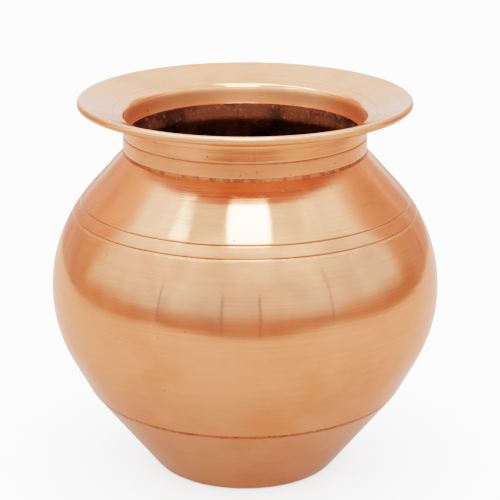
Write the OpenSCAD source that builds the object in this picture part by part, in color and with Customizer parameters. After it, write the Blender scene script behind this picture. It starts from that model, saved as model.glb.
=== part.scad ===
// Kalash: a spun copper water pot with a narrow neck and a wide flared mouth.
// Units are mm, +Z is up, and the origin is the centre of the base on the table.
// Every piece of sheet is drawn as the path of its mid-line, one straight or bend at a time.

/* [Overall] */
// Height from the table to the top of the rim
pot_h = 122; // [100:1:160]
// Widest diameter of the belly, outside
belly_d = 125; // [100:1:160]
// Outside diameter of the rolled rim
mouth_d = 106; // [85:1:140]
// Clear bore of the neck
neck_bore_d = 74; // [50:1:85]

/* [Belly] */
// Thickness of the belly sheet
belly_t = 0.8; // [0.5:0.1:1.5]
// Height of the widest point above the table
belly_z = 60; // [52:1:72]
// How straight the shoulder is: 0 is two bends and no straight, 1 is a straight cone
shoulder_straightness = 0.5; // [0.2:0.05:0.8]
// Radius of the outside curve below the widest point
haunch_r = 45; // [30:1:55]
// Lean of the straight haunch, from vertical
haunch_slope = 28; // [20:1:33]
// Radius of the outside crease between shoulder and neck
neck_crease_r = 1.2; // [1:0.1:4]
// Height of the upright neck that stands inside the mouth collar
neck_h = 4.8; // [3:0.1:8]
// Height of the lower edge of the belly, where it meets the base cup
seam_z = 28.3; // [20:0.1:36]

/* [Engraved lines] */
// Distance down the shoulder's curve from its top to the upper engraved line
line_start = 3.8; // [1:0.1:6]
// Distance down the curve between the two engraved lines
line_pitch = 4.2; // [2:0.1:8]
// Depth of each engraved line
line_depth = 0.25; // [0.1:0.05:0.5]
// Width of each engraved line at the surface
line_w = 0.5; // [0.2:0.1:1.5]

/* [Base cup] */
// Thickness of the base sheet
base_t = 0.8; // [0.5:0.1:1.5]
// Lean of the base cone, from vertical
base_slope = 38; // [34:1:50]
// Outside radius of the corner between the flat and the cone
base_corner_r = 2.5; // [1.5:0.5:8]
// Length of the flange that laps inside the belly
base_lap = 5; // [3:0.5:10]
// Mid-line radius of the two bends of the joggle under the flange
joggle_r = 0.6; // [0.5:0.05:1.2]
// How far the first bend of the joggle turns inward
joggle_turn = 70; // [50:1:75]
// How far below the corner of the two slopes the joggle begins
joggle_drop = 0.9; // [0.5:0.1:1.5]
// Gap from the corner of the two slopes up to the lower edge of the belly
seam_gap = 0.5; // [0.4:0.1:1]

/* [Mouth] */
// Thickness of the mouth sheet
mouth_t = 0.7; // [0.5:0.1:1.2]
// Height of the collar's upright wall, from its lower edge to the bend under the flare
wall_h = 9.4; // [8.5:0.1:15]
// Mid-line radius of the bend between the upright wall and the flare
flare_bend_r = 2.2; // [1:0.1:5]
// Slope of the flare, from horizontal
flare_slope = 21; // [15:1:35]
// Height of the engraved line on the wall, above the wall's lower edge
wall_line_up = 4.5; // [2:0.1:7]
// How far the rim is rolled round its wire
curl_turn = 285; // [240:5:290]
// Diameter of the wire in the rim
wire_d = 1.2; // [0.8:0.1:2.5]

/* [Fits] */
// Clearance round the wire inside its roll
wire_fit = 0.03; // [0.03:0.01:0.1]
// Film of braze metal between two lapped sheets
braze_film = 0.25; // [0.1:0.05:0.5]
// Gap between the shoulder's crease and the lower edge of the collar
foot_gap = 0.1; // [0.1:0.05:0.5]
// How far the braze under the collar's lower edge stands out from its wall
braze_fillet = 0.2; // [0.1:0.05:0.5]

/* [Hidden] */
$fn = 72;
wire_fn = 16;
// How far the corners of a bend may stand off its true curve
chord_error = 0.03;

// Radii of the belly sheet at the widest point and in the neck, and of the collar's wall round the neck
belly_mid_r = belly_d / 2 - belly_t / 2;
neck_mid_r = neck_bore_d / 2 + belly_t / 2;
wall_bore_r = neck_bore_d / 2 + belly_t + braze_film;
wall_mid_r = wall_bore_r + mouth_t / 2;
wall_out_r = wall_bore_r + mouth_t;

// The rolled rim, whose wire fills the roll
curl_r = wire_d / 2 + wire_fit + mouth_t / 2;
roll_r = curl_r + mouth_t / 2;
wire_at = [mouth_d / 2 - roll_r, pot_h - roll_r];

// The flare runs from the bend above the wall to where the roll begins
flare_turn = 90 - flare_slope;
flare_top = wire_at + curl_r * [-sin(flare_slope), cos(flare_slope)];
flare_low_r = wall_mid_r + flare_bend_r * (1 - cos(flare_turn));
flare_l = (flare_top.x - flare_low_r) / cos(flare_slope);
wall_top_z = flare_top.y - flare_l * sin(flare_slope) - flare_bend_r * sin(flare_turn);
wall_low_z = wall_top_z - wall_h;

// The collar's lower edge comes down to the crease, where the shoulder begins to lean out
crease_drop = sqrt(2 * neck_crease_r * braze_film - braze_film * braze_film);
neck_low_z = wall_low_z - foot_gap + crease_drop;
neck_top_z = neck_low_z + neck_h;

// The shoulder joins two upright tangents with a bend, a straight and the crease. Two bends alone
// would slope least in the middle, a straight cone most, and the straightness sets it between.
shoulder_in = belly_mid_r - neck_mid_r;
shoulder_up = neck_low_z - belly_z;
cone_slope = atan2(shoulder_up, shoulder_in);
shoulder_slope = cone_slope - (1 - shoulder_straightness) * (90 - cone_slope);
shoulder_turn = 90 - shoulder_slope;
bends_r = (shoulder_up * cos(shoulder_slope) - shoulder_in * sin(shoulder_slope)) / (1 - sin(shoulder_slope));
crease_mid_r = neck_crease_r + belly_t / 2;
shoulder_mid_r = bends_r - crease_mid_r;
shoulder_r = shoulder_mid_r + belly_t / 2;
shoulder_l = (shoulder_up - bends_r * cos(shoulder_slope)) / sin(shoulder_slope);

// Mid-line of the belly sheet between the widest point and the seam
haunch_mid_r = haunch_r - belly_t / 2;
haunch_l = (belly_z - haunch_mid_r * sin(haunch_slope) - seam_z) / cos(haunch_slope);

neck_start = [neck_mid_r, neck_top_z, -90];
belly_path = [
    ["line", neck_h],
    ["bend", crease_mid_r, shoulder_turn],
    ["line", shoulder_l],
    ["bend", shoulder_mid_r, -shoulder_turn],
    ["bend", haunch_mid_r, -haunch_slope],
    ["line", haunch_l]
];
seam_pose = pose_at(neck_start, belly_path, len(belly_path));
seam_out = beside(seam_pose, belly_t / 2);

// The joggle brings the flange of the base cup inside the belly sheet by one film of braze
cone_heading = 90 - base_slope;
flange_heading = 90 - haunch_slope;
joggle_heading = cone_heading + joggle_turn;
corner_at = seam_out - seam_gap * [cos(flange_heading), sin(flange_heading)];
flange_depth = belly_t + braze_film + base_t / 2;
cone_depth = base_t / 2 * cos(flange_heading - cone_heading) + joggle_drop * sin(flange_heading - cone_heading);
joggle_run = joggle_r * (2 * sin(joggle_heading) - sin(cone_heading) - sin(flange_heading));
joggle_rise = joggle_r * (cos(cone_heading) + cos(flange_heading) - 2 * cos(joggle_heading));
bends_depth = joggle_rise * cos(flange_heading) - joggle_run * sin(flange_heading);
// The straight between the two bends makes up what they leave of the depth
joggle_l = (flange_depth - cone_depth - bends_depth) / sin(joggle_heading - flange_heading);
joggle_at = beside([corner_at.x, corner_at.y, cone_heading], base_t / 2)
    - joggle_drop * [cos(cone_heading), sin(cone_heading)];

// The flat of the base stretches from the axis to where the corner begins
corner_mid_r = base_corner_r - base_t / 2;
corner_up = corner_mid_r * (1 - cos(cone_heading));
cone_l = (joggle_at.y - base_t / 2 - corner_up) / sin(cone_heading);
flat_r = joggle_at.x - cone_l * cos(cone_heading) - corner_mid_r * sin(cone_heading);

base_start = [0, base_t / 2, 0];
base_path = [
    ["line", flat_r],
    ["bend", corner_mid_r, cone_heading],
    ["line", cone_l],
    ["bend", joggle_r, joggle_turn],
    ["line", joggle_l],
    ["bend", joggle_r, flange_heading - joggle_heading],
    ["line", base_lap]
];

mouth_start = [wall_mid_r, wall_low_z, 90];
mouth_path = [
    ["line", wall_h],
    ["bend", flare_bend_r, -flare_turn],
    ["line", flare_l],
    ["bend", curl_r, -curl_turn]
];

copper = [0.80, 0.47, 0.30];
braze_metal = [0.85, 0.66, 0.38];

// A pose on a path is [radius, height, heading], with the heading in degrees from outward towards up.
function after_line(p, l) = [p.x + l * cos(p.z), p.y + l * sin(p.z), p.z];
function after_bend(p, r, turn) = [
    p.x + sign(turn) * r * (sin(p.z + turn) - sin(p.z)),
    p.y - sign(turn) * r * (cos(p.z + turn) - cos(p.z)),
    p.z + turn
];
function after(p, s) = s[0] == "line" ? after_line(p, s[1]) : after_bend(p, s[1], s[2]);
function pose_at(start, path, n) = n == 0 ? start : after(pose_at(start, path, n - 1), path[n - 1]);

// The poses along one stretch without its first. A bend has as many as the chord error needs.
function bend_steps(s) = ceil(abs(s[2]) / (2 * acos(1 - chord_error / s[1])));
function bend_poses(p, s) = [for (i = [1:bend_steps(s)]) after_bend(p, s[1], s[2] * i / bend_steps(s))];
function stretch(p, s) = s[0] == "line" ? [after_line(p, s[1])] : bend_poses(p, s);
function poses(start, path) = concat(
    [start],
    [for (i = [0:len(path) - 1]) each stretch(pose_at(start, path, i), path[i])]
);

// The point a distance d to the left of a pose, and a row of such points along a path
function beside(p, d) = [p.x - d * sin(p.z), p.y + d * cos(p.z)];
function face(start, path, d) = [for (p = poses(start, path)) beside(p, d)];
function reversed(list) = [for (i = [len(list) - 1:-1:0]) list[i]];

// The cross-section of a sheet: along one face and back along the other
function sheet(start, path, t) = concat(face(start, path, t / 2), reversed(face(start, path, -t / 2)));

// A V cut that points inward from a place on the surface
module v_cut() {
    polygon([[-line_depth, 0], [line_depth, -line_w], [line_depth, line_w]]);
}

// A V cut across the shoulder, a distance down its curve from the top
module engraved_line(down) {
    lift = shoulder_turn - down / shoulder_r * 180 / PI;
    translate([belly_d / 2 - shoulder_r + shoulder_r * cos(lift), belly_z + shoulder_r * sin(lift)])
        rotate(lift)
            v_cut();
}

// Pressed base: a flat, a cone and a joggled flange that goes up inside the belly
module base_cup() {
    color(copper)
        rotate_extrude()
            polygon(sheet(base_start, base_path, base_t));
}

// Braze in the lap between the base flange and the belly, and in the groove of the seam
module base_braze() {
    joggle_start = pose_at(base_start, base_path, 3);
    lapped = [base_path[3], base_path[4], base_path[5], ["line", base_lap - braze_film]];
    fill_end = pose_at(joggle_start, lapped, len(lapped));
    color(braze_metal)
        rotate_extrude()
            polygon(concat(
                face(joggle_start, lapped, -base_t / 2),
                [beside(fill_end, -base_t / 2 - braze_film)],
                [beside(seam_pose, -belly_t / 2)],
                [seam_out]
            ));
}

// Spun belly: upright neck, shoulder with two engraved lines, and haunch
module belly_shell() {
    color(copper)
        rotate_extrude()
            difference() {
                polygon(sheet(neck_start, belly_path, belly_t));
                engraved_line(line_start);
                engraved_line(line_start + line_pitch);
            }
}

// Braze in the lap between neck and collar, and under the collar's lower edge
module neck_braze() {
    crease_end = beside(pose_at(neck_start, belly_path, 2), belly_t / 2);
    under_l = (wall_out_r + braze_fillet - crease_end.x) / cos(shoulder_slope);
    lapped = [belly_path[0], belly_path[1], ["line", under_l]];
    color(braze_metal)
        rotate_extrude()
            polygon(concat(
                [[wall_bore_r, neck_top_z], [wall_bore_r, wall_low_z], [wall_out_r, wall_low_z]],
                reversed(face(neck_start, lapped, belly_t / 2))
            ));
}

// Spun mouth: an upright wall round the neck with one engraved line, the flare and the rolled rim
module mouth_collar() {
    color(copper)
        rotate_extrude()
            difference() {
                polygon(sheet(mouth_start, mouth_path, mouth_t));
                translate([wall_out_r, wall_low_z + wall_line_up])
                    v_cut();
            }
}

// Wire that the rim is rolled over
module rim_wire() {
    color(copper)
        rotate_extrude()
            translate(wire_at)
                circle(d = wire_d, $fn = wire_fn);
}

base_cup();
base_braze();
belly_shell();
neck_braze();
mouth_collar();
rim_wire();
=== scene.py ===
"""Looks of a spun copper kalash: its sheets, brazed joints and rim wire, in a white light tent."""

import logging
import math
from collections.abc import Callable, Sequence
from dataclasses import dataclass, field
from enum import Enum
from functools import lru_cache
from typing import Any

import bmesh
import bpy
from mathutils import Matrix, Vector


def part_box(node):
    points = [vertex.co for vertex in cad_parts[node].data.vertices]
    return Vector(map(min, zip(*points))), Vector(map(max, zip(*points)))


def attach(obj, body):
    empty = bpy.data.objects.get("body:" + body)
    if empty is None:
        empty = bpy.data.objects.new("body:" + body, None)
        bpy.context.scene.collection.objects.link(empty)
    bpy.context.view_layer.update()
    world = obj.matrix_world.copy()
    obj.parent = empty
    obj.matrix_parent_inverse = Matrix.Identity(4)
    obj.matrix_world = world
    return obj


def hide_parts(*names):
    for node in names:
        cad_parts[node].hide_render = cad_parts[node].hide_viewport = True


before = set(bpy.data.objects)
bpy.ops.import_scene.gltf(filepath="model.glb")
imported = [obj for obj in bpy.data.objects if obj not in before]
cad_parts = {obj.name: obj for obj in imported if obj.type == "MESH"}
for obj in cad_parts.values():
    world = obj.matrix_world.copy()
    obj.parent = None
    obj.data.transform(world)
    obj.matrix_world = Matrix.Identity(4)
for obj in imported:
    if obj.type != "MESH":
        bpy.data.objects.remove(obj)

LOG = logging.getLogger("kalash")
MM = 0.001
FULL_TURN = 2 * math.pi
# Below this radius a point is on the axis, and closer than this two points are one
ON_AXIS = 1e-6
WELD = 1e-6
FINE_WELD = 1e-7
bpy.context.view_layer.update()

# Node kinds and settings that come up often
MATH = "ShaderNodeMath"
VECTOR_MATH = "ShaderNodeVectorMath"
NOISE = "ShaderNodeTexNoise"
RANGE = "ShaderNodeMapRange"
MIX = "ShaderNodeMix"
BUMP = "ShaderNodeBump"
STORE = "GeometryNodeStoreNamedAttribute"
SET_MATERIAL = "GeometryNodeSetMaterial"
SPLIT = "ShaderNodeSeparateXYZ"
JOIN = "ShaderNodeCombineXYZ"
OUTPUT = "ShaderNodeOutputMaterial"
MULTIPLY = {"operation": "MULTIPLY"}
ADD = {"operation": "ADD"}
SUBTRACT = {"operation": "SUBTRACT"}
ABSOLUTE = {"operation": "ABSOLUTE"}
MAXIMUM = {"operation": "MAXIMUM"}
MULTIPLY_ADD = {"operation": "MULTIPLY_ADD"}
DIVIDE = {"operation": "DIVIDE"}
SCALE = {"operation": "SCALE"}
FLOAT_VALUE = {"data_type": "FLOAT"}
SMOOTH = {"interpolation_type": "SMOOTHSTEP"}
COLOUR_MIX = {"data_type": "RGBA"}

Point = tuple[float, float]
Socket = bpy.types.NodeSocket


def linear(code: str) -> tuple[float, float, float, float]:
    """Turns an sRGB hex colour into linear light.

    Args:
        code: six hex digits after a hash.

    Returns:
        Red, green, blue and a full alpha.
    """
    shades = [int(code[i : i + 2], 16) / 255 for i in (1, 3, 5)]
    light = [c / 12.92 if c <= 0.04045 else ((c + 0.055) / 1.055) ** 2.4 for c in shades]
    return (light[0], light[1], light[2], 1.0)


WHITE = linear("#FFFFFF")


def add_node(
    tree: bpy.types.NodeTree,
    kind: str,
    settings: dict[str, Any] | None = None,
    inputs: dict[int | str, Any] | None = None,
) -> bpy.types.Node:
    """Adds one node with its settings, values and links.

    Args:
        tree: the tree that gets the node.
        kind: the node's Blender type.
        settings: the node's own properties.
        inputs: by socket name or number, a value or the socket to link from.

    Returns:
        The new node.
    """
    made = tree.nodes.new(kind)
    for name, value in (settings or {}).items():
        setattr(made, name, value)
    for name, value in (inputs or {}).items():
        if isinstance(value, bpy.types.NodeSocket):
            tree.links.new(value, made.inputs[name])
        else:
            made.inputs[name].default_value = value
    return made


def empty_material(name: str) -> bpy.types.Material:
    """Makes a material whose node tree is empty."""
    made = bpy.data.materials.new(name)
    made.use_nodes = True
    made.node_tree.nodes.clear()
    return made


class Side(Enum):
    """Which face of a sheet a stretch of its outline is."""

    OUTER = 0
    INNER = 1


# ---------------------------------------------------------------- outlines


@dataclass
class Outline:
    """A turned piece's section: a closed loop of (radius, height) corners with the metal on its left."""

    corners: list[Point]
    worn_edge: float = 0.12 * MM
    sharp_turn: float = math.radians(25)
    arc_step: float = math.radians(2.5)
    worn_parts: int = 5

    @classmethod
    def of_node(cls, node: str) -> "Outline":
        """Reads the section of a turned node where it crosses the plane y = 0.

        Args:
            node: the CAD node's name.

        Returns:
            Its outline, closed along the axis where the piece is a disc.
        """
        near = 2 * ON_AXIS
        mesh = bmesh.new()
        mesh.from_mesh(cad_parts[node].data)
        bmesh.ops.remove_doubles(mesh, verts=mesh.verts, dist=WELD)
        cut = [e for e in mesh.edges if all(abs(v.co.y) < near and v.co.x > -near for v in e.verts)]
        beside: dict[int, list[bmesh.types.BMVert]] = {}
        for edge in cut:
            a, b = edge.verts
            beside.setdefault(a.index, []).append(b)
            beside.setdefault(b.index, []).append(a)
        ends = [v for e in cut for v in e.verts if len(beside[v.index]) == 1]
        here = ends[0] if ends else cut[0].verts[0]
        walk, seen = [here], {here.index}
        while True:
            ahead = [v for v in beside[here.index] if v.index not in seen]
            if not ahead:
                break
            here = ahead[0]
            seen.add(here.index)
            walk.append(here)
        corners = [(v.co.x, v.co.z) for v in walk]
        if ends:
            corners = [(0.0, corners[0][1]), *corners, (0.0, corners[-1][1])]
        mesh.free()
        area = sum(a[0] * b[1] - b[0] * a[1] for a, b in zip(corners, corners[1:] + corners[:1]))
        return cls(corners if area > 0 else corners[::-1])

    def rounded(self, step: Callable[[Point], float]) -> list[Point]:
        """Rounds each corner with a small curve and fills the straights between.

        Args:
            step: the largest gap between points near a given place.

        Returns:
            The closely spaced points of the loop.
        """
        points: list[Point] = []
        count = len(self.corners)
        vectors = [Vector(c) for c in self.corners]
        for i, corner in enumerate(vectors):
            before, after = vectors[i - 1], vectors[(i + 1) % count]
            back, ahead = before - corner, after - corner
            turn = math.pi - back.angle(ahead, math.pi)
            leg = min(back.length, ahead.length) / 2
            if corner.x < ON_AXIS:
                points.append((0.0, corner.y))
                start = corner
            else:
                if turn > self.sharp_turn:
                    leg = min(leg, self.worn_edge)
                first = corner + back.normalized() * leg
                start = corner + ahead.normalized() * leg
                bends = max(
                    1,
                    math.ceil(turn / self.arc_step),
                ) if turn < self.sharp_turn else self.worn_parts
                for k in range(bends + 1):
                    t = k / bends
                    place = first * (1 - t) ** 2 + corner * 2 * t * (1 - t) + start * t**2
                    points.append((place.x, place.y))
            following = vectors[(i + 2) % count]
            next_turn = math.pi - (corner - after).angle(following - after, math.pi)
            next_leg = min((corner - after).length, (following - after).length) / 2
            if after.x < ON_AXIS:
                next_leg = 0
            elif next_turn > self.sharp_turn:
                next_leg = min(next_leg, self.worn_edge)
            stop = after + (corner - after).normalized() * next_leg
            gap = (stop - start).length
            parts = max(1, math.ceil(gap / step((corner.x, corner.y))))
            for k in range(1, parts):
                place = start.lerp(stop, k / parts)
                points.append((place.x, place.y))
        clean = [points[0]]
        for place in points[1:]:
            if (Vector(place) - Vector(clean[-1])).length > 2 * WELD:
                clean.append(place)
        if (Vector(clean[0]) - Vector(clean[-1])).length < 2 * WELD:
            clean.pop()
        return clean


# ---------------------------------------------------------------- finishes


@dataclass(frozen=True)
class TurningMark:
    """A fine ring that the turner's tool or a buffing grit has left.

    Args:
        along: distance along the sheet's outline, in metres.
        width: width of the ring, in metres.
        strength: how dark and deep it is, 0 to 1.
        broken: how much of its circle is missing, 0 to 1.
    """

    along: float
    width: float = 0.35 * MM
    strength: float = 0.5
    broken: float = 0.4


@dataclass(frozen=True)
class SpunCopper:
    """Sheet copper spun on a lathe and buffed: warm reflections drawn out by fine rings.

    Args:
        name: the material's name.
        bright: the buffed metal's reflection colour.
        deep: its redder colour where the buff has reached less.
        residue: dark polish residue and oxide in grooves, pits and scratches.
        ring_pitch: spacing of the tool marks. Real ones are 0.1 to 0.2 mm, drawn coarser so that they show.
        ring_drift: how fast a tool mark changes on its way round.
        ring_depth: how deep the tool marks are.
        band_pitch: spacing of the broad rings where the tool pressed harder.
        band_depth: how deep the broad rings are.
        cloud_size: size of the redder clouds.
        buffed_roughness: the smoothest and roughest of the buffed metal.
        drawn_out: how far the rings draw a reflection out, 0 to 1.
        soil_dullness: how much rougher a soiled place is.
        pit_pitch: spacing of the cells that may hold a pit.
        pit_depth: how deep a pit or mark is.
        pit_reach: the smallest and largest pit's radius, as a share of a cell.
        stray_pits: share of cells with a pit off the roughest band.
        pitting: share of pitted surface on the roughest band, 0 to 1.
        rough_band: the lowest and highest z of a band that the buff has missed.
        band_dullness: how much rougher that band is.
        marks: single rings that stand out.
    """

    name: str
    bright: str = "#E9A580"
    deep: str = "#DC8C62"
    residue: str = "#5A2A18"
    ring_pitch: float = 0.6 * MM
    ring_drift: Point = (1.6, 1.6)
    ring_depth: float = 0.012 * MM
    band_pitch: float = 4.5 * MM
    band_depth: float = 0.05 * MM
    cloud_size: float = 22 * MM
    buffed_roughness: Point = (0.07, 0.14)
    drawn_out: float = 0.8
    soil_dullness: float = 0.35
    pit_pitch: float = 1.6 * MM
    pit_depth: float = 0.05 * MM
    pit_reach: Point = (0.12, 0.30)
    stray_pits: float = 0.012
    pitting: float = 0.5
    rough_band: tuple[float, float] | None = None
    band_dullness: float = 0.10
    marks: tuple[TurningMark, ...] = ()

    def material(self) -> bpy.types.Material:
        """Builds the material.

        Returns:
            The finished material.
        """
        made = empty_material(self.name)
        tree = made.node_tree
        lathe = add_node(tree, "ShaderNodeAttribute", {"attribute_name": "lathe"}).outputs["Vector"]
        soil = add_node(tree, "ShaderNodeAttribute", {"attribute_name": "soil"}).outputs["Fac"]
        place = add_node(tree, "ShaderNodeTexCoord").outputs["Object"]
        ring_at = add_node(
            tree, VECTOR_MATH, MULTIPLY, {0: lathe, 1: (*self.ring_drift, 1 / self.ring_pitch)}
        ).outputs[0]
        rings = add_node(
            tree, NOISE, {}, {"Vector": ring_at, "Scale": 1.0, "Detail": 3.0, "Roughness": 0.65}
        ).outputs["Fac"]
        marks = self.mark_nodes(tree, lathe)
        pits = self.pit_nodes(tree, place)
        scratches = self.scratch_nodes(tree, place)
        soiled: Socket = soil
        for layer in (marks, pits, scratches):
            soiled = add_node(tree, MATH, MAXIMUM, {0: soiled, 1: layer}).outputs[0]
        metal = self.metal_nodes(tree, place, rings)
        colour = add_node(
            tree, MIX, COLOUR_MIX, {"Factor": soiled, "A": metal, "B": linear(self.residue)}
        ).outputs["Result"]
        tangent = add_node(tree, "ShaderNodeTangent", {"direction_type": "RADIAL", "axis": "Z"})
        hollow = add_node(tree, MATH, MAXIMUM, {0: marks, 1: pits}).outputs[0]
        looks = {
            "Base Color": colour,
            "Metallic": 1.0,
            "Roughness": self.rough_nodes(tree, place, rings, soiled),
            "Anisotropic": self.drawn_out,
            "Anisotropic Rotation": 0.25,
            "Normal": self.relief_nodes(tree, lathe, rings, hollow),
            "Tangent": tangent.outputs["Tangent"],
        }
        shader = add_node(tree, "ShaderNodeBsdfPrincipled", {}, looks)
        add_node(tree, OUTPUT, {}, {"Surface": shader.outputs[0]})
        return made

    def metal_nodes(self, tree: bpy.types.NodeTree, place: Socket, rings: Socket) -> Socket:
        """Clouds the bright metal with its redder colour, in streaks along the tool marks.

        Args:
            tree: the material's tree.
            place: the piece's own coordinates.
            rings: the tool marks' pattern.

        Returns:
            The clean metal's colour.
        """
        clouds = add_node(
            tree,
            NOISE,
            {},
            {"Vector": place, "Scale": 1 / self.cloud_size, "Detail": 4.0, "Roughness": 0.6},
        ).outputs["Fac"]
        tone = add_node(
            tree, RANGE, SMOOTH, {"Value": clouds, "From Min": 0.35, "From Max": 0.7, "To Max": 0.55}
        ).outputs["Result"]
        streak = add_node(
            tree,
            RANGE,
            {},
            {"Value": rings, "From Min": 0.3, "From Max": 0.7, "To Min": -0.18, "To Max": 0.18},
        ).outputs["Result"]
        toned = add_node(
            tree,
            MATH,
            {"operation": "ADD", "use_clamp": True},
            {0: tone, 1: streak},
        ).outputs[0]
        return add_node(
            tree, MIX, COLOUR_MIX, {"Factor": toned, "A": linear(self.bright), "B": linear(self.deep)}
        ).outputs["Result"]

    def rough_nodes(self, tree: bpy.types.NodeTree, place: Socket, rings: Socket, soiled: Socket) -> Socket:
        """Sets the roughness: low on buffed metal, higher in soiled places and on the rough band.

        Args:
            tree: the material's tree.
            place: the piece's own coordinates.
            rings: the tool marks' pattern.
            soiled: how soiled each place is.

        Returns:
            The roughness.
        """
        low, high = self.buffed_roughness
        grain = add_node(
            tree,
            RANGE,
            {},
            {"Value": rings, "From Min": 0.3, "From Max": 0.7, "To Min": low, "To Max": high},
        ).outputs["Result"]
        rough = add_node(tree, MATH, MULTIPLY_ADD, {0: soiled, 1: self.soil_dullness, 2: grain}).outputs[0]
        if self.rough_band:
            zone = self.zone_nodes(tree, place)
            rough = add_node(
                tree,
                MATH,
                MULTIPLY_ADD,
                {0: zone, 1: self.band_dullness, 2: rough},
            ).outputs[0]
        return rough

    def relief_nodes(
        self,
        tree: bpy.types.NodeTree,
        lathe: Socket,
        rings: Socket,
        hollow: Socket,
    ) -> Socket:
        """Raises the broad rings and tool marks and sinks the marks and pits.

        Args:
            tree: the material's tree.
            lathe: the turned coordinates.
            rings: the tool marks' pattern.
            hollow: how deep each mark or pit is.

        Returns:
            The bumped normal.
        """
        band_at = add_node(
            tree,
            VECTOR_MATH,
            MULTIPLY,
            {0: lathe, 1: (0.5, 0.5, 1 / self.band_pitch)},
        ).outputs[0]
        bands = add_node(
            tree, NOISE, {}, {"Vector": band_at, "Scale": 1.0, "Detail": 2.0, "Roughness": 0.5}
        ).outputs["Fac"]
        normal = add_node(tree, BUMP, {}, {"Height": bands, "Distance": self.band_depth}).outputs["Normal"]
        normal = add_node(
            tree, BUMP, {}, {"Height": rings, "Distance": self.ring_depth, "Normal": normal}
        ).outputs["Normal"]
        return add_node(
            tree, BUMP, {"invert": True}, {"Height": hollow, "Distance": self.pit_depth, "Normal": normal}
        ).outputs["Normal"]

    def mark_nodes(self, tree: bpy.types.NodeTree, lathe: Socket) -> Socket | float:
        """Draws the single rings as soft lines at their distances along the outline.

        Args:
            tree: the material's tree.
            lathe: the turned coordinates.

        Returns:
            How dark, and so how deep, the rings are.
        """
        along = add_node(tree, SPLIT, {}, {0: lathe}).outputs[2]
        arc_at = add_node(tree, VECTOR_MATH, MULTIPLY, {0: lathe, 1: (2.2, 2.2, 1 / (3 * MM))})
        arcs = add_node(
            tree, NOISE, {}, {"Vector": arc_at.outputs[0], "Scale": 1.0, "Detail": 2.0}
        ).outputs["Fac"]
        total: Socket | float = 0.0
        for mark in self.marks:
            off = add_node(tree, MATH, SUBTRACT, {0: along, 1: mark.along}).outputs[0]
            off = add_node(tree, MATH, ABSOLUTE, {0: off}).outputs[0]
            line = add_node(
                tree,
                RANGE,
                SMOOTH,
                {
                    "Value": off,
                    "From Min": 0.0,
                    "From Max": mark.width / 2,
                    "To Min": mark.strength,
                    "To Max": 0.0,
                },
            ).outputs["Result"]
            shown = add_node(
                tree,
                RANGE,
                SMOOTH,
                {
                    "Value": arcs,
                    "From Min": 0.25 + 0.35 * mark.broken,
                    "From Max": 0.35 + 0.4 * mark.broken,
                },
            ).outputs["Result"]
            line = add_node(tree, MATH, MULTIPLY, {0: line, 1: shown}).outputs[0]
            total = add_node(tree, MATH, MAXIMUM, {0: total, 1: line}).outputs[0]
        return total

    def zone_nodes(self, tree: bpy.types.NodeTree, place: Socket) -> Socket:
        """Finds the band left rough by brazing, 0 outside it and 1 inside."""
        low, high = self.rough_band or (0.0, 0.0)
        z = add_node(tree, SPLIT, {}, {0: place}).outputs[2]
        rise = add_node(
            tree,
            RANGE,
            SMOOTH,
            {"Value": z, "From Min": low - 6 * MM, "From Max": low},
        ).outputs["Result"]
        fall = add_node(
            tree,
            RANGE,
            SMOOTH,
            {"Value": z, "From Min": high, "From Max": high + 1 * MM, "To Min": 1.0, "To Max": 0.0},
        ).outputs["Result"]
        return add_node(tree, MATH, MULTIPLY, {0: rise, 1: fall}).outputs[0]

    def pit_nodes(self, tree: bpy.types.NodeTree, place: Socket) -> Socket:
        """Scatters small dark pits, thickest on the rough band and rare elsewhere.

        Args:
            tree: the material's tree.
            place: the piece's own coordinates.

        Returns:
            1 in the middle of a pit, falling to 0 at its lip.
        """
        cells = add_node(tree, "ShaderNodeTexVoronoi", {}, {"Vector": place, "Scale": 1 / self.pit_pitch})
        lot = add_node(tree, "ShaderNodeSeparateColor", {}, {0: cells.outputs["Color"]})
        limit: Socket | float = self.stray_pits
        if self.rough_band:
            zone = self.zone_nodes(tree, place)
            limit = add_node(tree, MATH, MULTIPLY_ADD, {0: zone, 1: self.pitting, 2: limit}).outputs[0]
        chosen = add_node(tree, MATH, {"operation": "LESS_THAN"}, {0: lot.outputs[0], 1: limit}).outputs[0]
        least, most = self.pit_reach
        reach = add_node(
            tree,
            MATH,
            MULTIPLY_ADD,
            {0: lot.outputs[1], 1: most - least, 2: least},
        ).outputs[0]
        spot = add_node(
            tree,
            RANGE,
            SMOOTH,
            {
                "Value": cells.outputs["Distance"],
                "From Min": 0.0,
                "From Max": reach,
                "To Min": 0.9,
                "To Max": 0.0,
            },
        ).outputs["Result"]
        return add_node(tree, MATH, MULTIPLY, {0: spot, 1: chosen}).outputs[0]

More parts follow.
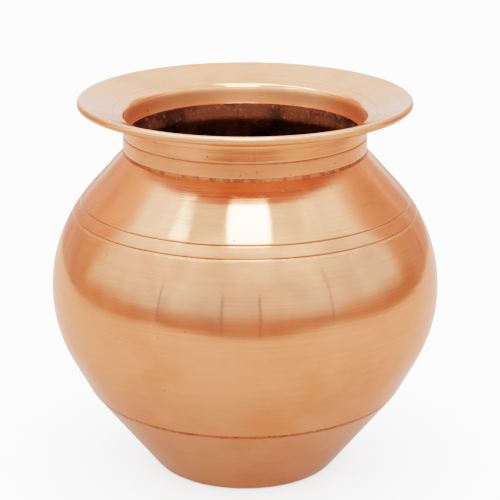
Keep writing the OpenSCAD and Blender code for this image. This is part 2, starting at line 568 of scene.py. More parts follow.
    def scratch_nodes(self, tree: bpy.types.NodeTree, place: Socket) -> Socket:
        """Draws a few hairline scratches: short pieces of the level lines of a stretched noise.

        Args:
            tree: the material's tree.
            place: the piece's own coordinates.

        Returns:
            How dark the scratch is, mostly 0.
        """
        field_ = add_node(
            tree, VECTOR_MATH, MULTIPLY, {0: place, 1: (1 / (60 * MM), 1 / (60 * MM), 1 / (18 * MM))}
        ).outputs[0]
        wander = add_node(tree, NOISE, {}, {"Vector": field_, "Scale": 1.0, "Detail": 0.0}).outputs["Fac"]
        off = add_node(tree, MATH, SUBTRACT, {0: wander, 1: 0.5}).outputs[0]
        off = add_node(tree, MATH, ABSOLUTE, {0: off}).outputs[0]
        hair = add_node(
            tree,
            RANGE,
            {},
            {"Value": off, "From Min": 0.0, "From Max": 0.0022, "To Min": 0.3, "To Max": 0.0},
        ).outputs["Result"]
        patch = add_node(
            tree, NOISE, {}, {"Vector": place, "Scale": 1 / (14 * MM), "Detail": 2.0, "Roughness": 0.7}
        ).outputs["Fac"]
        kept = add_node(
            tree, RANGE, SMOOTH, {"Value": patch, "From Min": 0.64, "From Max": 0.7}
        ).outputs["Result"]
        return add_node(tree, MATH, MULTIPLY, {0: hair, 1: kept}).outputs[0]


@dataclass(frozen=True)
class TarnishedCopper:
    """Unpolished copper inside the pot, browned by the brazing heat: dull, speckled and dark.

    Args:
        name: the material's name.
        oxide: the brown oxide's colour.
        scale: the black fire scale's colour.
        bare: the metal that shows between them.
        speckle_pitch: size of the speckles.
        ring_pitch: spacing of the tool marks, drawn coarser than real ones so that they show.
        blotch_size: size of the patches of black scale.
    """

    name: str
    oxide: str = "#7C4C38"
    scale: str = "#4C2E24"
    bare: str = "#AC7454"
    speckle_pitch: float = 1.3 * MM
    ring_pitch: float = 0.9 * MM
    blotch_size: float = 14 * MM

    def material(self) -> bpy.types.Material:
        """Builds the material.

        Returns:
            The finished material.
        """
        made = empty_material(self.name)
        tree = made.node_tree
        place = add_node(tree, "ShaderNodeTexCoord").outputs["Object"]
        lathe = add_node(tree, "ShaderNodeAttribute", {"attribute_name": "lathe"}).outputs["Vector"]
        ring_at = add_node(
            tree, VECTOR_MATH, MULTIPLY, {0: lathe, 1: (2.0, 2.0, 1 / self.ring_pitch)}
        ).outputs[0]
        rings = add_node(tree, NOISE, {}, {"Vector": ring_at, "Scale": 1.0, "Detail": 3.0}).outputs["Fac"]
        speckle = add_node(
            tree,
            NOISE,
            {},
            {"Vector": place, "Scale": 1 / self.speckle_pitch, "Detail": 4.0, "Roughness": 0.7},
        ).outputs["Fac"]
        blotch = add_node(
            tree,
            NOISE,
            {},
            {"Vector": place, "Scale": 1 / self.blotch_size, "Detail": 3.0, "Roughness": 0.6},
        ).outputs["Fac"]
        scaled = add_node(
            tree, RANGE, SMOOTH, {"Value": blotch, "From Min": 0.4, "From Max": 0.65}
        ).outputs["Result"]
        brown = add_node(
            tree,
            MIX,
            COLOUR_MIX,
            {"Factor": scaled, "A": linear(self.oxide), "B": linear(self.scale)},
        ).outputs["Result"]
        worn = add_node(
            tree, RANGE, SMOOTH, {"Value": speckle, "From Min": 0.55, "From Max": 0.7}
        ).outputs["Result"]
        colour = add_node(
            tree, MIX, COLOUR_MIX, {"Factor": worn, "A": brown, "B": linear(self.bare)}
        ).outputs["Result"]
        rough = add_node(
            tree,
            RANGE,
            {},
            {"Value": speckle, "From Min": 0.3, "From Max": 0.7, "To Min": 0.55, "To Max": 0.38},
        ).outputs["Result"]
        normal = add_node(
            tree, BUMP, {}, {"Height": rings, "Distance": 0.05 * MM, "Strength": 1.0}
        ).outputs["Normal"]
        normal = add_node(
            tree, BUMP, {}, {"Height": speckle, "Distance": 0.12 * MM, "Strength": 1.0, "Normal": normal}
        ).outputs["Normal"]
        shader = add_node(
            tree,
            "ShaderNodeBsdfPrincipled",
            {},
            {"Base Color": colour, "Metallic": 0.8, "Roughness": rough, "Normal": normal},
        )
        add_node(tree, OUTPUT, {}, {"Surface": shader.outputs[0]})
        return made


@dataclass(frozen=True)
class BrazeRun:
    """Copper and zinc filler melted into a joint: a darker, rippled and slightly dull metal.

    Args:
        name: the material's name.
        filler: the filler's colour.
        flux: the brown glaze that the flux leaves.
        ripple: spacing of its ripples.
    """

    name: str
    filler: str = "#C67C58"
    flux: str = "#A26044"
    ripple: float = 2.2 * MM

    def material(self) -> bpy.types.Material:
        """Builds the material.

        Returns:
            The finished material.
        """
        made = empty_material(self.name)
        tree = made.node_tree
        place = add_node(tree, "ShaderNodeTexCoord").outputs["Object"]
        ripple = add_node(
            tree, NOISE, {}, {"Vector": place, "Scale": 1 / self.ripple, "Detail": 3.0, "Roughness": 0.6}
        ).outputs["Fac"]
        glazed = add_node(
            tree, RANGE, SMOOTH, {"Value": ripple, "From Min": 0.45, "From Max": 0.6}
        ).outputs["Result"]
        colour = add_node(
            tree,
            MIX,
            COLOUR_MIX,
            {"Factor": glazed, "A": linear(self.filler), "B": linear(self.flux)},
        ).outputs["Result"]
        rough = add_node(
            tree,
            RANGE,
            {},
            {"Value": ripple, "From Min": 0.3, "From Max": 0.7, "To Min": 0.2, "To Max": 0.34},
        ).outputs["Result"]
        normal = add_node(
            tree, BUMP, {}, {"Height": ripple, "Distance": 0.05 * MM, "Strength": 1.0}
        ).outputs["Normal"]
        shader = add_node(
            tree,
            "ShaderNodeBsdfPrincipled",
            {},
            {"Base Color": colour, "Metallic": 1.0, "Roughness": rough, "Normal": normal},
        )
        add_node(tree, OUTPUT, {}, {"Surface": shader.outputs[0]})
        return made


Finish = SpunCopper | TarnishedCopper | BrazeRun


# ---------------------------------------------------------------- the lathe


class Lathe:
    """The Geometry Nodes tree that turns an outline round the pot's axis."""

    INPUTS = (
        ("Facets", "NodeSocketInt"),
        ("Sway", "NodeSocketFloat"),
        ("Sway Spacing", "NodeSocketFloat"),
        ("Seed", "NodeSocketInt"),
        ("Outer Finish", "NodeSocketMaterial"),
        ("Inner Finish", "NodeSocketMaterial"),
    )

    def __init__(self) -> None:
        """Builds the tree once for every turned piece."""
        self.tree = bpy.data.node_groups.new("lathe", "GeometryNodeTree")
        face = self.tree.interface
        face.new_socket("Outline", in_out="INPUT", socket_type="NodeSocketGeometry")
        face.new_socket("Piece", in_out="OUTPUT", socket_type="NodeSocketGeometry")
        self.sockets: dict[str, str] = {}
        for name, kind in self.INPUTS:
            self.sockets[name] = face.new_socket(name, in_out="INPUT", socket_type=kind).identifier
        self.build()

    def build(self) -> None:
        """Adds the nodes: outline to curve, curve round a circle, sway, turned coordinates and finishes."""
        tree = self.tree
        given = add_node(tree, "NodeGroupInput").outputs
        at = add_node(tree, SPLIT, {}, {0: add_node(tree, "GeometryNodeInputPosition").outputs[0]}).outputs
        section = add_node(
            tree,
            STORE,
            FLOAT_VALUE,
            {"Geometry": given["Outline"], "Name": "radius_out", "Value": at[0]},
        ).outputs[0]
        section = add_node(
            tree,
            STORE,
            FLOAT_VALUE,
            {"Geometry": section, "Name": "height_up", "Value": at[2]},
        ).outputs[0]
        section = add_node(tree, "GeometryNodeMeshToCurve", {}, {"Mesh": section}).outputs[0]
        circle = add_node(
            tree, "GeometryNodeCurvePrimitiveCircle", {}, {"Resolution": given["Facets"], "Radius": 1.0}
        ).outputs[0]
        index = add_node(tree, "GeometryNodeInputIndex").outputs[0]
        share = add_node(tree, MATH, DIVIDE, {0: index, 1: given["Facets"]}).outputs[0]
        angle = add_node(tree, MATH, MULTIPLY, {0: share, 1: FULL_TURN}).outputs[0]
        circle = add_node(
            tree,
            STORE,
            FLOAT_VALUE,
            {"Geometry": circle, "Name": "turn", "Value": angle},
        ).outputs[0]
        turned = add_node(
            tree,
            "GeometryNodeCurveToMesh",
            {},
            {"Curve": circle, "Profile Curve": section},
        ).outputs[0]
        read = {
            name: add_node(
                tree, "GeometryNodeInputNamedAttribute", FLOAT_VALUE, {"Name": name}
            ).outputs["Attribute"]
            for name in ("radius_out", "height_up", "turn", "along", "inner")
        }
        cosine = add_node(tree, MATH, {"operation": "COSINE"}, {0: read["turn"]}).outputs[0]
        sine = add_node(tree, MATH, {"operation": "SINE"}, {0: read["turn"]}).outputs[0]
        around = add_node(tree, JOIN, {}, {0: cosine, 1: sine, 2: 0.0}).outputs[0]
        out = add_node(tree, VECTOR_MATH, SCALE, {0: around, "Scale": read["radius_out"]}).outputs[0]
        up = add_node(tree, JOIN, {}, {0: 0.0, 1: 0.0, 2: read["height_up"]}).outputs[0]
        true_place = add_node(tree, VECTOR_MATH, ADD, {0: out, 1: up}).outputs[0]
        spread = add_node(tree, MATH, DIVIDE, {0: 1.0, 1: given["Sway Spacing"]}).outputs[0]
        wobble = add_node(
            tree,
            NOISE,
            {"noise_dimensions": "4D"},
            {"Vector": true_place, "W": given["Seed"], "Scale": spread, "Detail": 1.0},
        ).outputs[0]
        wobble = add_node(tree, MATH, SUBTRACT, {0: wobble, 1: 0.5}).outputs[0]
        wobble = add_node(tree, MATH, MULTIPLY, {0: wobble, 1: given["Sway"]}).outputs[0]
        held = add_node(
            tree,
            RANGE,
            {},
            {
                "Value": read["radius_out"],
                "From Min": 0.0,
                "From Max": 10 * MM,
                "To Min": 0.0,
                "To Max": 1.0,
            },
        ).outputs["Result"]
        wobble = add_node(tree, MATH, MULTIPLY, {0: wobble, 1: held}).outputs[0]
        push = add_node(tree, VECTOR_MATH, SCALE, {0: around, "Scale": wobble}).outputs[0]
        final = add_node(tree, VECTOR_MATH, ADD, {0: true_place, 1: push}).outputs[0]
        turned = add_node(
            tree,
            "GeometryNodeSetPosition",
            {},
            {"Geometry": turned, "Position": final},
        ).outputs[0]
        lathe = add_node(tree, JOIN, {}, {0: cosine, 1: sine, 2: read["along"]}).outputs[0]
        turned = add_node(
            tree,
            STORE,
            {"data_type": "FLOAT_VECTOR"},
            {"Geometry": turned, "Name": "lathe", "Value": lathe},
        ).outputs[0]
        turned = add_node(
            tree,
            "GeometryNodeMergeByDistance",
            {},
            {"Geometry": turned, "Distance": WELD},
        ).outputs[0]
        turned = add_node(tree, "GeometryNodeSetShadeSmooth", {}, {"Geometry": turned}).outputs[0]
        turned = add_node(tree, "GeometryNodeRealizeInstances", {}, {"Geometry": turned}).outputs[0]
        turned = add_node(
            tree, SET_MATERIAL, {}, {"Geometry": turned, "Material": given["Outer Finish"]}
        ).outputs[0]
        within = add_node(
            tree, "FunctionNodeCompare", FLOAT_VALUE, {"A": read["inner"], "B": 0.5}
        ).outputs[0]
        turned = add_node(
            tree,
            SET_MATERIAL,
            {},
            {"Geometry": turned, "Selection": within, "Material": given["Inner Finish"]},
        ).outputs[0]
        add_node(tree, "NodeGroupOutput", {}, {0: turned})

    def turn(self, name: str, wire: bpy.types.Mesh, values: dict[str, Any]) -> bpy.types.Object:
        """Turns one outline into a plain closed mesh.

        Args:
            name: the new piece's name.
            wire: the outline as edges in the plane y = 0.
            values: the tree's inputs by name.

        Returns:
            The piece, at the origin, with no modifier.
        """
        blank = bpy.data.objects.new(name + "_outline", wire)
        bpy.context.scene.collection.objects.link(blank)
        modifier = blank.modifiers.new("lathe", "NODES")
        modifier.node_group = self.tree
        for key, value in values.items():
            modifier[self.sockets[key]] = value
        graph = bpy.context.evaluated_depsgraph_get()
        mesh = bpy.data.meshes.new_from_object(
            blank.evaluated_get(graph),
            preserve_all_data_layers=True,
            depsgraph=graph,
        )
        bpy.data.objects.remove(blank)
        solid = bmesh.new()
        solid.from_mesh(mesh)
        bmesh.ops.remove_doubles(solid, verts=solid.verts, dist=FINE_WELD)
        bmesh.ops.recalc_face_normals(solid, faces=solid.faces)
        solid.to_mesh(mesh)
        solid.free()
        mesh.name = name
        for spare in ("radius_out", "height_up", "turn"):
            if spare in mesh.attributes:
                mesh.attributes.remove(mesh.attributes[spare])
        piece = bpy.data.objects.new(name, mesh)
        bpy.context.scene.collection.objects.link(piece)
        return piece


# ---------------------------------------------------------------- pieces


@dataclass
class TurnedPiece:
    """One turned piece, which keeps the CAD node's section and stands for it.

    Args:
        node: the CAD node whose section the piece takes and which it stands for.
        facets: faces round the axis.
        shown_step: gap between outline points on the face that shows.
        sway: how far the spun sheet strays from a true circle.
        sway_spacing: distance between high and low places.
        seed: chooses the sway's pattern.
        cut_turn: the least turn at the floor of an engraved line.
        cut_side: the longest side of an engraved line's V.
        points: the rounded outline, filled when the piece is built.
    """

    node: str
    facets: int = 240
    shown_step: float = 0.8 * MM
    sway: float = 0.0
    sway_spacing: float = 30 * MM
    seed: int = 1
    cut_turn: float = math.radians(50)
    cut_side: float = 0.8 * MM
    points: list[Point] = field(default_factory=list)

    def side(self, place: Point, outward: Point) -> Side:
        """Says which face a place is on, from where it is and which way it looks."""
        return Side.OUTER

    def soil(self, place: Point) -> float:
        """Says how much dark residue a place holds, 0 to 1."""
        return 0.0

    def outer_finish(self) -> Finish:
        """Chooses the finish of the face that shows."""
        raise NotImplementedError

    def inner_finish(self) -> Finish:
        """Chooses the finish of the face inside the pot."""
        return TarnishedCopper("tarnished_copper_inside_" + self.node)

    def step(self, place: Point) -> float:
        """Sets how closely the outline is filled near a place."""
        return self.shown_step

    def outwards(self, i: int) -> Point:
        """Finds which way the outline looks at one of its points."""
        before = Vector(self.points[i - 1])
        after = Vector(self.points[(i + 1) % len(self.points)])
        way = (after - before).normalized()
        return (way.y, -way.x)

    def along(self) -> list[float]:
        """Measures the distance of each point along the outline."""
        total, found = 0.0, [0.0]
        for a, b in zip(self.points, self.points[1:]):
            total += (Vector(b) - Vector(a)).length
            found.append(total)
        return found

    def along_at(self, height: float) -> float:
        """Finds the distance along the outline where its outermost face reaches a height.

        Args:
            height: z in metres.

        Returns:
            The distance in metres.
        """
        level = [(p[0], s) for p, s in zip(
            self.points,
            self.along(),
        ) if abs(p[1] - height) < self.shown_step]
        return max(level)[1]

    def along_near(self, place: Point) -> float:
        """Finds the distance along the outline of the point nearest to a place."""
        return min(((Vector(p) - Vector(place)).length, s) for p, s in zip(self.points, self.along()))[1]

    def grooves(self) -> list[TurningMark]:
        """Finds the engraved lines, whose V cuts are sharp hollow corners between two short sides.

        Returns:
            A dark mark for the floor of each.
        """
        corners = [Vector(c) for c in Outline.of_node(self.node).corners]
        found: list[TurningMark] = []
        for i, corner in enumerate(corners):
            back, ahead = corner - corners[i - 1], corners[(i + 1) % len(corners)] - corner
            hollow = back.x * ahead.y - back.y * ahead.x < 0
            if hollow and back.angle(ahead) > self.cut_turn and max(
                back.length,
                ahead.length,
            ) < self.cut_side:
                found.append(TurningMark(self.along_near((corner.x, corner.y)), 0.42 * MM, 0.6, 0.0))
        return found

    def wire(self) -> bpy.types.Mesh:
        """Makes the outline's mesh of edges, with its distances, soil and faces as attributes.

        Returns:
            The mesh.
        """
        mesh = bpy.data.meshes.new(self.node + "_outline")
        count = len(self.points)
        open_end = self.points[0][0] < ON_AXIS and self.points[-1][0] < ON_AXIS
        edges = [(i, (i + 1) % count) for i in range(count - 1 if open_end else count)]
        mesh.from_pydata([(r, 0.0, z) for r, z in self.points], edges, [])
        sides = [self.side(p, self.outwards(i)) for i, p in enumerate(self.points)]
        columns = {
            "along": self.along(),
            "soil": [self.soil(p) for p in self.points],
            "inner": [float(s.value) for s in sides],
        }
        for name, column in columns.items():
            mesh.attributes.new(name, "FLOAT", "POINT").data.foreach_set("value", column)
        return mesh

    def build(self, lathe: Lathe) -> bpy.types.Object:
        """Turns, dresses and hangs the piece on the pot's body.

        Args:
            lathe: the tree that turns it.

        Returns:
            The finished piece.
        """
        self.points = Outline.of_node(self.node).rounded(self.step)
        piece = lathe.turn(
            "shown_" + self.node,
            self.wire(),
            {
                "Facets": self.facets,
                "Sway": self.sway,
                "Sway Spacing": self.sway_spacing,
                "Seed": self.seed,
                "Outer Finish": self.outer_finish().material(),
                "Inner Finish": self.inner_finish().material(),
            },
        )
        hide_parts(self.node)
        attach(piece, "root")
        LOG.info("%s: %d outline points, %d faces", piece.name, len(self.points), len(piece.data.polygons))
        return piece


@lru_cache
def seat_height(node: str) -> float:
    """Reads the lowest z of a CAD node."""
    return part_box(node)[0][2]


@lru_cache
def outer_radius(node: str) -> float:
    """Reads the outer radius of a CAD node."""
    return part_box(node)[1][0]


@lru_cache
def top_height(node: str) -> float:
    """Reads the highest z of a CAD node."""
    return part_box(node)[1][2]


@dataclass
class HollowSheet(TurnedPiece):
    """A sheet that encloses the pot's hollow, with its inner face towards the middle of it."""

    hollow_centre: Point = (0.0, 60 * MM)

    def side(self, place: Point, outward: Point) -> Side:
        """The inner face looks towards the middle of the pot."""
        to_centre = Vector(self.hollow_centre) - Vector(place)
        return Side.INNER if Vector(outward).dot(to_centre) > 0 else Side.OUTER


@dataclass
class BaseCup(HollowSheet):
    """The spun bottom: flat foot, flared cone and the flange that slips inside the belly."""

    node: str = "base_cup"
    sway: float = 0.05 * MM
    seed: int = 3
    ring_down: float = 1.3 * MM
    soil_reach: float = 0.15 * MM
    lip_soil: float = 0.3

    def soil(self, place: Point) -> float:
        """Residue gathers where the cone meets the belly's edge."""
        return self.lip_soil if place[1] > seat_height("belly_shell") - self.soil_reach else 0.0

    def outer_finish(self) -> Finish:
        """Buffed copper with a fine ring just under the joint."""
        ring = self.along_at(seat_height("belly_shell") - self.ring_down)
        return SpunCopper(
            "spun_buffed_copper_base",
            marks=(TurningMark(ring, 0.4 * MM, 0.35, 0.5),),
        )


@dataclass
class BellyShell(HollowSheet):
    """The spun belly: upright neck, shoulder with its engraved rings, and haunch."""

    node: str = "belly_shell"
    shown_step: float = 0.7 * MM
    sway: float = 0.10 * MM
    seed: int = 7
    soil_reach: float = 0.1 * MM
    lip_soil: float = 0.35
    ring_down: float = 4.5 * MM
    pitted_h: float = 1 * MM

    def soil(self, place: Point) -> float:
        """Residue sits at the lower lip; the engraved rings get theirs from the groove marks."""
        return self.lip_soil if place[1] < seat_height(self.node) + self.soil_reach else 0.0

    def outer_finish(self) -> Finish:
        """Buffed copper, with a few pits where the collar was brazed on."""
        crease = seat_height("neck_braze")
        ring = TurningMark(self.along_at(crease - self.ring_down), 0.4 * MM, 0.25, 0.6)
        return SpunCopper(
            "spun_buffed_copper_belly",
            pitting=0.10,
            rough_band=(crease, crease + self.pitted_h),
            marks=(ring, *self.grooves()),
        )


@dataclass
class MouthCollar(TurnedPiece):
    """The spun mouth: upright wall round the belly's neck, flare and rolled rim."""

    node: str = "mouth_collar"
    shown_step: float = 0.5 * MM
    sway: float = 0.08 * MM
    seed: int = 11
    roll_width: float = 1.8 * MM
    lean_in: float = 0.1
    lean_up: float = 0.3
    foot_line_up: float = 0.6 * MM
    brazed_h: float = 4.5 * MM
    lower_ring_up: float = 8.4 * MM
    upper_ring_up: float = 9.5 * MM
    flare_ring_r: float = 41.5 * MM
    flare_ring_down: float = 3.8 * MM
    satin_down: float = 6.5 * MM

    def side(self, place: Point, outward: Point) -> Side:
        """The inner face is the flare's upper face and the bore of the wall."""
        on_roll = place[0] > outer_radius(self.node) - self.roll_width
        looks_in = outward[0] < -self.lean_in and place[1] < top_height(self.node) - self.roll_width
        looks_up = outward[1] > self.lean_up
        return Side.INNER if (looks_up or looks_in) and not on_roll else Side.OUTER

    def outer_finish(self) -> Finish:
        """Buffed copper, rough and pitted where the collar is brazed round the neck."""
        foot = seat_height(self.node)
        marks = (
            TurningMark(self.along_at(foot + self.lower_ring_up), 0.35 * MM, 0.35, 0.4),
            TurningMark(self.along_at(foot + self.upper_ring_up), 0.35 * MM, 0.35, 0.3),
            TurningMark(self.along_at(foot + self.foot_line_up), 0.45 * MM, 0.5, 0.9),
            *self.grooves(),
        )
        return SpunCopper("spun_buffed_copper_mouth", rough_band=(foot, foot + self.brazed_h), marks=marks)

    def inner_finish(self) -> Finish:
        """Buffed copper with a fine ring on the flare, left satin on the wall where no buff reaches."""
        top = top_height(self.node)
        ring = self.along_near((self.flare_ring_r, top - self.flare_ring_down))
        return SpunCopper(
            "spun_copper_flare_buffed_above_satin_below",
            pitting=0.04,
            rough_band=(seat_height(self.node), top - self.satin_down),
            band_dullness=0.38,
            marks=(TurningMark(ring, 0.4 * MM, 0.45, 0.3),),
        )


@dataclass
class RimWire(TurnedPiece):
    """The copper wire that the rim is rolled round."""

    node: str = "rim_wire"
    facets: int = 180

    def outer_finish(self) -> Finish:
        """Plain drawn wire, seen only through the gap under the roll."""
        return SpunCopper("drawn_copper_wire", ring_pitch=0.3 * MM)


@dataclass
class BrazeRing(TurnedPiece):
    """A ring of filler that fixes one sheet inside another."""

    facets: int = 180
    sway: float = 0.0

    def outer_finish(self) -> Finish:
        """Melted filler with flux glaze."""
        return BrazeRun("melted_braze_" + self.node)


# ---------------------------------------------------------------- the stage


@dataclass(frozen=True)
class Seam:
    """A strip of dark tape on the tent's front: where it stands, how high and how wide it is."""

    x: float
    height: float
    width: float


@dataclass(frozen=True)
class Lamp:
    """A lamp's soft patch on the cloth: its direction from the pot, its size and its brightness."""

    name: str
    way: tuple[float, float, float]
    width: float
    depth: float
    strength: float


@dataclass
class Studio:
    """A pale floor and a white light tent, with the camera in front.

    The tent's cloth shows only in reflections, as it does round a small shiny pot on a table.
    """

    wall_side: float = 0.46
    wall_front: float = 0.40
    wall_back: float = 0.42
    wall_height: float = 0.85
    floor_size: float = 30.0
    camera_back: float = 0.540
    camera_up: float = 0.2472
    camera_pitch: float = 18.07
    lens: float = 126.24
    shift: float = 0.0098
    camera_opening: Point = (-0.085, 0.055)
    # Painted bounce light: the warm tint of the cloth's glow along its foot and in the rear corners
    painted_bounce_tint: str = "#E7B6A6"
    foot_fade: Point = (0.14, 0.05)
    rear_start: Point = (0.0, 0.12)
    rear_top: Point = (0.60, 0.40)
    rear_aside: Point = (0.15, 0.30)
    patch_centre: float = 0.09
    patch_distance: float = 0.72
    lamps: tuple[Lamp, ...] = (
        Lamp("lamp_over_front", (0.03, -0.40, 0.86), 0.30, 0.22, 18.0),
        Lamp("lamp_left", (-0.60, -0.33, 0.86), 0.13, 0.12, 4.5),
        Lamp("lamp_top", (0.0, 0.06, 1.0), 0.30, 0.40, 9.0),
        Lamp("lamp_top_left", (-0.32, 0.14, 0.95), 0.16, 0.40, 8.0),
    )

    def build(self) -> None:
        """Builds floor, cloth, seams, lamps, sky and camera."""
        self.floor()
        self.reflected_floor_painted_shade()
        for name, corners, low, high in self.walls():
            self.cloth(name, corners, low, high)
        self.seams()
        for lamp in self.lamps:
            self.patch(lamp)
        self.sky()
        self.camera()
        settings = bpy.context.scene.view_settings
        settings.view_transform = "Filmic"
        settings.look = "High Contrast"

    def quad(
        self,
        name: str,
        corners: Sequence[Sequence[float]],
        material: bpy.types.Material,
    ) -> bpy.types.Object:
        """Adds one flat four-cornered sheet to the stage.

        Args:
            name: its name.
            corners: four corners in metres.
            material: what it is made of.

        Returns:
            The new object.
        """
        mesh = bpy.data.meshes.new(name)
        mesh.from_pydata([tuple(c) for c in corners], [], [(0, 1, 2, 3)])
        mesh.materials.append(material)
        made = bpy.data.objects.new(name, mesh)
        bpy.context.scene.collection.objects.link(made)
        return made

    @staticmethod
    def only_in_reflections(piece: bpy.types.Object) -> None:
        """Hides a sheet from everything but reflections."""
        piece.visible_camera = False
        piece.visible_diffuse = False
        piece.visible_shadow = False
        piece.visible_transmission = False
        piece.visible_volume_scatter = False

    def floor(self) -> None:
        """Adds the plain pale floor."""
        half = self.floor_size / 2
        material = bpy.data.materials.new("matt_white_board")
        material.use_nodes = True
        shader = material.node_tree.nodes["Principled BSDF"]
        shader.inputs["Base Color"].default_value = linear("#F2F2F2")
        shader.inputs["Roughness"].default_value = 0.9
        shader.inputs["Specular IOR Level"].default_value = 0.1
        self.quad(
            "floor",
            [(-half, -half, 0), (half, -half, 0), (half, half, 0), (-half, half, 0)],
            material,
        )

    def reflected_floor_painted_shade(self) -> None:
        """Adds a floor sheet just above the board that shows only in reflections, with painted shade and a
        painted glow: darker and warmer than the board, lifted by a faint emission.
        """
        material = bpy.data.materials.new("reflected_floor_painted_shade_glow")
        material.use_nodes = True
        shader = material.node_tree.nodes["Principled BSDF"]
        # Painted shade: darker and warmer than the board, for the shade and warm copper bounce light that
        # the floor shows in the pot's reflections
        shader.inputs["Base Color"].default_value = linear("#6E6059")
        # Painted glow: a faint warm emission that lightens the reflected floor's shade evenly
        shader.inputs["Emission Color"].default_value = linear("#FFDFCE")
        shader.inputs["Emission Strength"].default_value = 0.22
        shader.inputs["Roughness"].default_value = 0.9
        shader.inputs["Specular IOR Level"].default_value = 0.0
        x, f, b, z = self.wall_side, -self.wall_front, self.wall_back, 0.02 * MM
        cloth = self.quad("reflected_floor_painted_shade", [(-x, f, z), (x, f, z), (x, b, z), (-x, b, z)], material)
        self.only_in_reflections(cloth)

    def walls(self) -> list[tuple[str, list[tuple[float, float, float]], float, float]]:
        """Lists each cloth: its corners, bottom pair first, and its brightness at the foot and the top."""
        x, f, b, h = self.wall_side, -self.wall_front, self.wall_back, self.wall_height
        return [
            ("tent_front", [(-x, f, 0), (x, f, 0), (x, f, h), (-x, f, h)], 0.85, 2.3),
            ("tent_left", [(-x, b, 0), (-x, f, 0), (-x, f, h), (-x, b, h)], 1.0, 2.4),
            ("tent_right", [(x, f, 0), (x, b, 0), (x, b, h), (x, f, h)], 0.9, 2.0),
            ("tent_back", [(x, b, 0), (-x, b, 0), (-x, b, h), (x, b, h)], 1.2, 2.0),
            ("tent_roof", [(-x, f, h), (x, f, h), (x, b, h), (-x, b, h)], 1.6, 1.6),
        ]

    def cloth(self, name: str, corners: Sequence[Sequence[float]], low: float, high: float) -> None:
        """Hangs one lit cloth, brighter towards its top.

        Args:
            name: the cloth's name.
            corners: its four corners.
            low: brightness at the floor.
            high: brightness at the top.
        """
        material = empty_material(name + "_lit_nylon")
        tree = material.node_tree
        place = add_node(tree, "ShaderNodeTexCoord").outputs["Object"]
        z = add_node(tree, SPLIT, {}, {0: place}).outputs[2]
        bright = add_node(
            tree,
            RANGE,
            {},
            {"Value": z, "From Min": 0.0, "From Max": self.wall_height, "To Min": low, "To Max": high},
        ).outputs["Result"]
        folds = add_node(tree, NOISE, {}, {"Vector": place, "Scale": 5.0, "Detail": 2.0}).outputs["Fac"]
        folds = add_node(
            tree,
            RANGE,
            {},
            {"Value": folds, "From Min": 0.3, "From Max": 0.7, "To Min": 0.85, "To Max": 1.15},
        ).outputs["Result"]
        bright = add_node(tree, MATH, MULTIPLY, {0: bright, 1: folds}).outputs[0]
        # Painted copper bounce light: the glow turns warm along the cloth's foot and in the rear corners
        warm = self.painted_bounce_nodes(tree, place)
        tint = add_node(
            tree,
            MIX,
            COLOUR_MIX,
            {"Factor": warm, "A": WHITE, "B": linear(self.painted_bounce_tint)},
        ).outputs["Result"]
        glow = add_node(tree, "ShaderNodeEmission", {}, {"Color": tint, "Strength": bright})
        add_node(tree, OUTPUT, {}, {"Surface": glow.outputs[0]})
        self.only_in_reflections(self.quad(name, corners, material))

    def painted_bounce_nodes(self, tree: bpy.types.NodeTree, place: Socket) -> Socket:
        """Finds where the cloth's glow takes a painted warm tint for copper's reddish bounce light: along
        its foot and towards the rear corners.

        Args:
            tree: the cloth's tree.
            place: its coordinates, which are the room's.

        Returns:
            0 on white cloth to 1 where it is warmest.
        """
        at = add_node(tree, SPLIT, {}, {0: place}).outputs
        across = add_node(tree, MATH, ABSOLUTE, {0: at[0]}).outputs[0]
        fades = []
        ranges = (
            (at[2], self.foot_fade),
            (at[1], self.rear_start),
            (at[2], self.rear_top),
            (across, self.rear_aside),
        )
        for axis, (start, end) in ranges:
            fades.append(
                add_node(
                    tree,
                    RANGE,
                    SMOOTH,
                    {"Value": axis, "From Min": start, "From Max": end},
                ).outputs["Result"]
            )
        foot, behind, under, aside = fades
        rear = add_node(tree, MATH, MULTIPLY, {0: behind, 1: under}).outputs[0]
        rear = add_node(tree, MATH, MULTIPLY, {0: rear, 1: aside}).outputs[0]
        return add_node(tree, MATH, MAXIMUM, {0: foot, 1: rear}).outputs[0]

    def seams(self) -> None:
        """Adds the tent's dark seams at the corners and beside the camera's opening."""
        material = bpy.data.materials.new("tent_seam_tape")
        material.use_nodes = True
        shader = material.node_tree.nodes["Principled BSDF"]
        shader.inputs["Base Color"].default_value = linear("#3A3A3A")
        x = self.wall_side
        strips = [Seam(-x, 0.30, 0.010), Seam(x, 0.42, 0.010)]
        strips += [Seam(side, 0.20, 0.006) for side in self.camera_opening]
        y = 0.004 - self.wall_front
        for i, strip in enumerate(strips):
            centre = max(-x + strip.width, min(x - strip.width, strip.x))
            left, right = centre - strip.width / 2, centre + strip.width / 2
            corners = [(left, y, 0), (right, y, 0), (right, y, strip.height), (left, y, strip.height)]
            self.only_in_reflections(self.quad(f"tent_seam_{i}", corners, material))

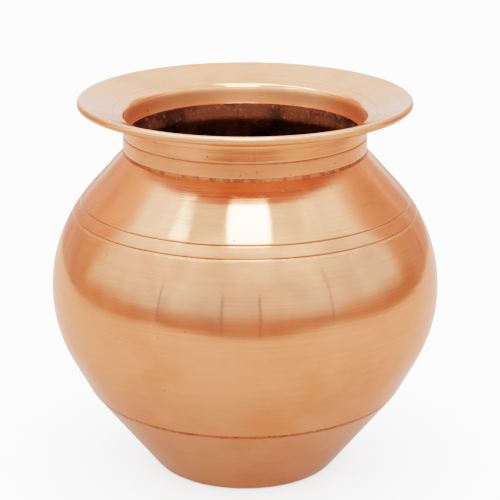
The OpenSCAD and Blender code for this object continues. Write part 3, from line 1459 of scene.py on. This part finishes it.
    def patch(self, lamp: Lamp) -> None:
        """Adds one glowing patch that faces the pot, soft at its edges.

        Args:
            lamp: the lamp that lights it.
        """
        material = empty_material(lamp.name + "_diffuser")
        tree = material.node_tree
        place = add_node(tree, "ShaderNodeTexCoord").outputs["Object"]
        at = add_node(tree, SPLIT, {}, {0: place}).outputs
        edges = []
        for axis, size in ((0, lamp.width), (1, lamp.depth)):
            off = add_node(tree, MATH, ABSOLUTE, {0: at[axis]}).outputs[0]
            edges.append(
                add_node(
                    tree,
                    RANGE,
                    SMOOTH,
                    {
                        "Value": off,
                        "From Min": size * 0.36,
                        "From Max": size * 0.5,
                        "To Min": 1.0,
                        "To Max": 0.0,
                    },
                ).outputs["Result"]
            )
        shape = add_node(tree, MATH, MULTIPLY, {0: edges[0], 1: edges[1]}).outputs[0]
        glow = add_node(
            tree,
            "ShaderNodeEmission",
            {},
            {"Color": WHITE, "Strength": lamp.strength},
        ).outputs[0]
        clear = add_node(tree, "ShaderNodeBsdfTransparent").outputs[0]
        mixed = add_node(tree, "ShaderNodeMixShader", {}, {0: shape, 1: clear, 2: glow}).outputs[0]
        add_node(tree, OUTPUT, {}, {"Surface": mixed})
        w, d = lamp.width / 2, lamp.depth / 2
        card = self.quad(lamp.name, [(-w, -d, 0), (w, -d, 0), (w, d, 0), (-w, d, 0)], material)
        way = Vector(lamp.way)
        card.location = Vector((0, 0, self.patch_centre)) + way.normalized() * self.patch_distance
        card.rotation_mode = "QUATERNION"
        card.rotation_quaternion = way.to_track_quat("Z", "Y")
        self.only_in_reflections(card)

    def sky(self) -> None:
        """Lights the whole scene evenly, as a white studio does."""
        world = bpy.data.worlds.new("white_studio")
        world.use_nodes = True
        back = world.node_tree.nodes["Background"]
        back.inputs["Color"].default_value = WHITE
        back.inputs["Strength"].default_value = 7.0
        bpy.context.scene.world = world

    def camera(self) -> None:
        """Sets the camera in front of the pot and above its rim, looking down on the mouth."""
        data = bpy.data.cameras.new("camera")
        data.lens = self.lens
        data.sensor_width = 36.0
        data.shift_x = self.shift
        data.clip_start = 0.01
        made = bpy.data.objects.new("camera", data)
        made.location = (0.0, -self.camera_back, self.camera_up)
        made.rotation_euler = (math.radians(90 - self.camera_pitch), 0.0, 0.0)
        bpy.context.scene.collection.objects.link(made)
        bpy.context.scene.camera = made


def main() -> None:
    """Builds every piece in order, then the studio round them."""
    logging.basicConfig(level=logging.INFO, format="%(name)s: %(message)s")
    lathe = Lathe()
    pieces: list[TurnedPiece] = [
        BaseCup(),
        BrazeRing("base_braze"),
        BellyShell(),
        BrazeRing("neck_braze"),
        MouthCollar(),
        RimWire(),
    ]
    for piece in pieces:
        piece.build(lathe)
    Studio().build()


if __name__ == "__main__":
    main()
